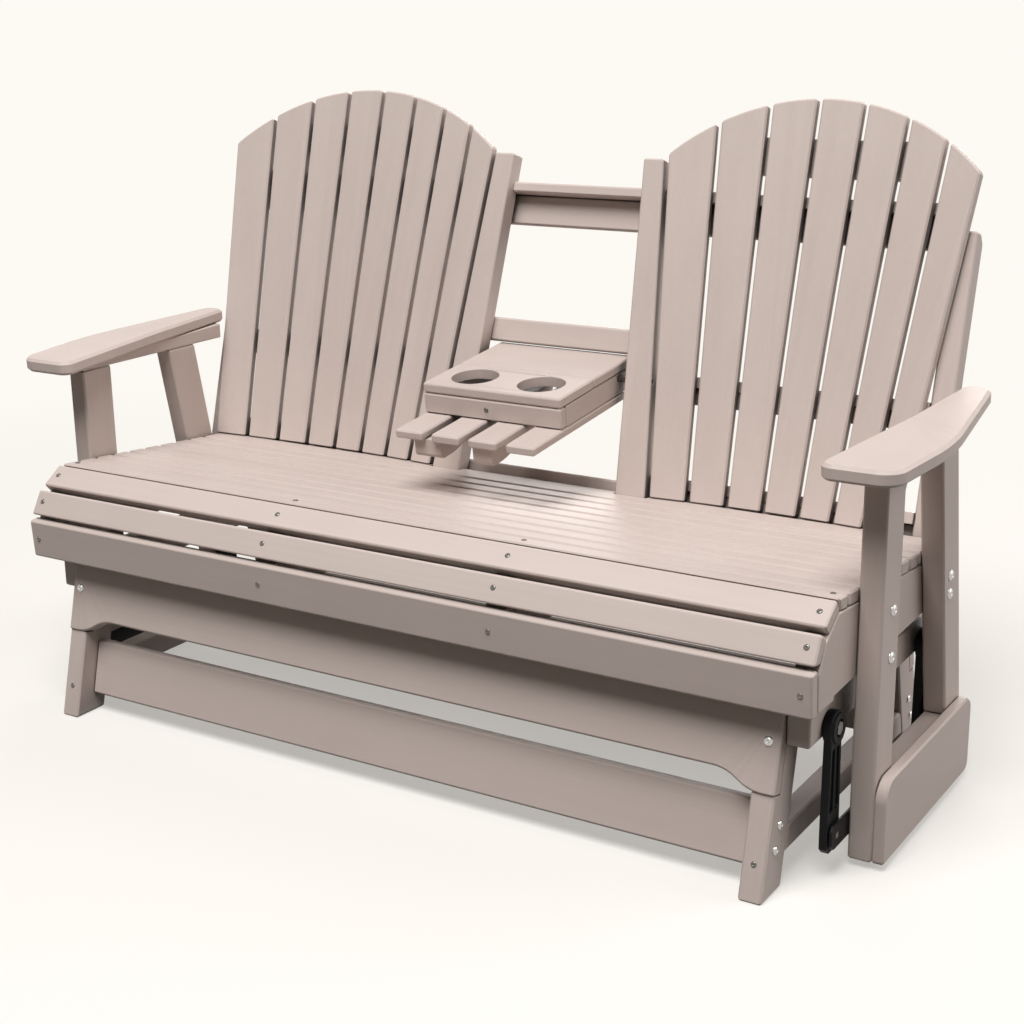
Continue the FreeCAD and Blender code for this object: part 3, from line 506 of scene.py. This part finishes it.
def seen_directly(tree):
    """1 for what the eye sees, also in a reflection, and 0 for light that spreads."""
    path = add(tree, "ShaderNodeLightPath")
    rays = [path.outputs[ray] for ray in ("Is Camera Ray", "Is Glossy Ray", "Is Transmission Ray")]
    node = add(tree, "ShaderNodeClamp")
    tree.links.new(total(tree, *rays), node.inputs["Value"])
    return node.outputs["Result"]


def floor_material():
    """A pale floor that keeps the shadow near the bench and glows like the background far from it."""
    material, tree, shader = new_material("floor")
    shader.inputs["Base Color"].default_value = FLOOR_TONE
    shader.inputs["Roughness"].default_value = FLOOR_ROUGHNESS
    shader.inputs["Specular IOR Level"].default_value = 0.0
    place = add(tree, "ShaderNodeTexCoord")
    reach = add(tree, "ShaderNodeVectorMath", operation="LENGTH")
    tree.links.new(place.outputs["Object"], reach.inputs[0])
    far = spread(tree, reach.outputs["Value"], 0.0, 1.0, SHADOW_NEAR, SHADOW_FAR)
    seen = seen_directly(tree)

    glow = add(tree, "ShaderNodeEmission")
    glow.inputs["Color"].default_value = CREAM
    strength = combine(tree, "MULTIPLY", seen, spread(tree, far, GLOW_NEAR, 1.0, 0.0, 1.0))
    tree.links.new(strength, glow.inputs["Strength"])

    black = add(tree, "ShaderNodeBsdfDiffuse")
    black.inputs["Color"].default_value = BLACK
    dim = combine(tree, "MAXIMUM", far, spread(tree, seen, 1.0 - BOUNCE, 0.0, 0.0, 1.0))
    fade = add(tree, "ShaderNodeMixShader")
    tree.links.new(dim, fade.inputs["Fac"])
    tree.links.new(shader.outputs["BSDF"], fade.inputs[1])
    tree.links.new(black.outputs["BSDF"], fade.inputs[2])

    both = add(tree, "ShaderNodeAddShader")
    tree.links.new(fade.outputs["Shader"], both.inputs[0])
    tree.links.new(glow.outputs["Emission"], both.inputs[1])
    tree.links.new(both.outputs["Shader"], tree.nodes["Material Output"].inputs["Surface"])
    return material


def lay_floor():
    mesh = bpy.data.meshes.new("floor")
    corners = [(-1, -1), (1, -1), (1, 1), (-1, 1)]
    mesh.from_pydata([(FLOOR_HALF * x, FLOOR_HALF * y, 0) for x, y in corners], [], [(0, 1, 2, 3)])
    mesh.materials.append(floor_material())
    floor = bpy.data.objects.new("floor", mesh)
    scene.collection.objects.link(floor)


def light_world():
    """A weak warm light from all around; the eye sees the plain background instead."""
    world = bpy.data.worlds.new("studio")
    scene.world = world
    world.use_nodes = True
    tree = world.node_tree
    ambient = tree.nodes["Background"]
    ambient.inputs["Color"].default_value = AMBIENT_TONE
    ambient.inputs["Strength"].default_value = AMBIENT
    backdrop = add(tree, "ShaderNodeBackground")
    backdrop.inputs["Color"].default_value = CREAM
    backdrop.inputs["Strength"].default_value = 1.0
    mix = add(tree, "ShaderNodeMixShader")
    tree.links.new(seen_directly(tree), mix.inputs["Fac"])
    tree.links.new(ambient.outputs["Background"], mix.inputs[1])
    tree.links.new(backdrop.outputs["Background"], mix.inputs[2])
    tree.links.new(mix.outputs["Shader"], tree.nodes["World Output"].inputs["Surface"])


def softbox(name, direction, distance, size, level):
    """A round lamp aimed at the seat; level 1 shows a facing surface in its written colour."""
    data = bpy.data.lights.new(name, "AREA")
    data.shape = "DISK"
    data.size = size
    data.energy = level * (math.pi * distance) ** 2
    lamp = bpy.data.objects.new(name, data)
    direction = Vector(direction).normalized()
    lamp.location = LAMP_AIM + distance * direction
    lamp.rotation_euler = direction.to_track_quat("Z", "Y").to_euler()
    scene.collection.objects.link(lamp)


def place_camera():
    """The camera at the photograph's angle."""
    azimuth, elevation, roll = (math.radians(angle) for angle in (AZIMUTH, ELEVATION, ROLL))
    back = Vector((
        math.sin(azimuth) * math.cos(elevation),
        -math.cos(azimuth) * math.cos(elevation),
        math.sin(elevation),
    ))
    level = Vector((math.cos(azimuth), math.sin(azimuth), 0))
    upright = back.cross(level)
    right = math.cos(roll) * level + math.sin(roll) * upright
    up = math.cos(roll) * upright - math.sin(roll) * level
    data = bpy.data.cameras.new("camera")
    data.sensor_width = SENSOR_MM
    data.lens = LENS_MM
    data.clip_end = FARTHEST
    camera = bpy.data.objects.new("camera", data)
    axes = Matrix((right, up, back)).transposed().to_4x4()
    camera.matrix_world = Matrix.Translation(TARGET + DISTANCE * back) @ axes
    scene.collection.objects.link(camera)
    scene.camera = camera


lay_floor()
light_world()
softbox("key", (0.08, -0.43, 0.89), distance=7.0, size=4.5, level=1.16)
softbox("right_rear", (0.80, 0.45, 0.40), distance=6.0, size=5.0, level=0.40)
softbox("rear_fill", (-0.30, 0.92, 0.24), distance=7.0, size=4.0, level=0.42)
place_camera()
scene.view_settings.view_transform = "Standard"

bpy.context.view_layer.update()
